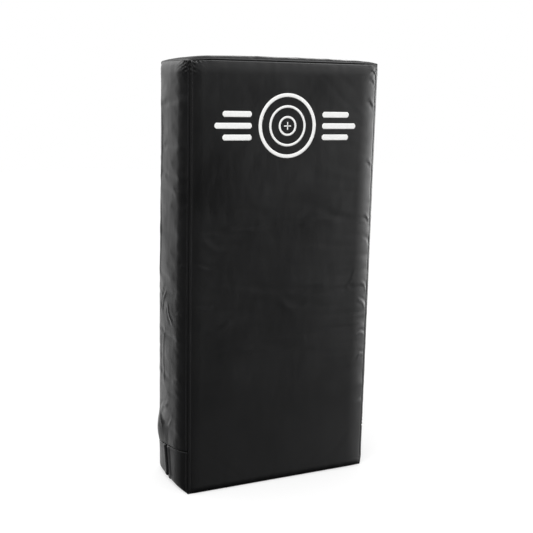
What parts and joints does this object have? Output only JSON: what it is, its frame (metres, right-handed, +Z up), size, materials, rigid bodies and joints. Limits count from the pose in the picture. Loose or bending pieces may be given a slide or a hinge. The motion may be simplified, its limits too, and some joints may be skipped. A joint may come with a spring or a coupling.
{
  "type": "straight kick shield",
  "caption": "Straight rectangular foam strike shield in a sewn vinyl cover, with padded handles on its back and a zip round its lower end.",
  "frame": {"origin": "centre of the pad's flat lower end, which it stands on", "axes": "+Z up along the pad's length, -Y out of the strike face, +Y out of the back with the handles, +X to the right as seen from the front"},
  "size_m": [0.3706, 0.2123, 0.75],
  "materials": {
    "vinyl": "black coated fabric, semi-gloss, fine grain",
    "vinyl_trim": "black coated fabric, satin, fine grain",
    "dense_foam": "dark grey closed-cell foam, matt",
    "soft_foam": "pale yellow open-cell foam, matt",
    "webbing": "black woven polyester",
    "zip_plastic": "black coiled nylon",
    "zip_metal": "dark plated die-cast metal",
    "thread": "black bonded polyester thread"
  },
  "bodies": {
    "pad": {"front_panel": "vinyl", "back_panel": "vinyl", "left_side_panel": "vinyl", "right_side_panel": "vinyl", "top_panel": "vinyl", "zip_boxing_front": "vinyl", "zip_boxing_back": "vinyl", "strike_foam": "dense_foam", "core_foam": "soft_foam", "backing_foam": "dense_foam", "zip_tape_front": "webbing", "zip_tape_back": "webbing", "zip_teeth_front": "zip_plastic", "zip_teeth_back": "zip_plastic", "zip_start_stop": "zip_metal", "zip_end_stop": "zip_metal", "upper_handle_left_end": "vinyl_trim", "upper_handle_left_patch": "vinyl_trim", "upper_handle_left_stitching": "thread", "upper_handle_right_end": "vinyl_trim", "upper_handle_right_patch": "vinyl_trim", "upper_handle_right_stitching": "thread", "left_handle_lower_end": "vinyl_trim", "left_handle_lower_patch": "vinyl_trim", "left_handle_lower_stitching": "thread", "left_handle_upper_end": "vinyl_trim", "left_handle_upper_patch": "vinyl_trim", "left_handle_upper_stitching": "thread", "right_handle_lower_end": "vinyl_trim", "right_handle_lower_patch": "vinyl_trim", "right_handle_lower_stitching": "thread", "right_handle_upper_end": "vinyl_trim", "right_handle_upper_patch": "vinyl_trim", "right_handle_upper_stitching": "thread"},
    "upper_handle": {"upper_handle_grip_sleeve": "vinyl_trim", "upper_handle_grip_foam": "dense_foam", "upper_handle_webbing_core": "webbing"},
    "left_handle": {"left_handle_grip_sleeve": "vinyl_trim", "left_handle_grip_foam": "dense_foam", "left_handle_webbing_core": "webbing"},
    "right_handle": {"right_handle_grip_sleeve": "vinyl_trim", "right_handle_grip_foam": "dense_foam", "right_handle_webbing_core": "webbing"},
    "zip_slider": {"zip_slider": "zip_metal"},
    "zip_pull": {"zip_pull": "zip_metal"}
  },
  "joints": [
    {"name": "upper_handle_swing", "type": "hinge", "parent": "pad", "child": "upper_handle", "pos_m": [0, 0.08238, 0.6], "axis": [1, 0, 0], "range_deg": [-60, 60]},
    {"name": "left_handle_swing", "type": "hinge", "parent": "pad", "child": "left_handle", "pos_m": [-0.08, 0.08208, 0.36], "axis": [0, 0, 1], "range_deg": [-60, 60]},
    {"name": "right_handle_swing", "type": "hinge", "parent": "pad", "child": "right_handle", "pos_m": [0.08, 0.08208, 0.36], "axis": [0, 0, 1], "range_deg": [-60, 60]},
    {"name": "zip_slide", "type": "slide", "parent": "pad", "child": "zip_slider", "axis": [0, 0, -1], "range_m": [0, 0.03]},
    {"name": "zip_pull_flip", "type": "hinge", "parent": "zip_slider", "child": "zip_pull", "pos_m": [0.185, 0.01, 0.05616], "axis": [0, 1, 0], "range_deg": [-165, 0]}
  ]
}
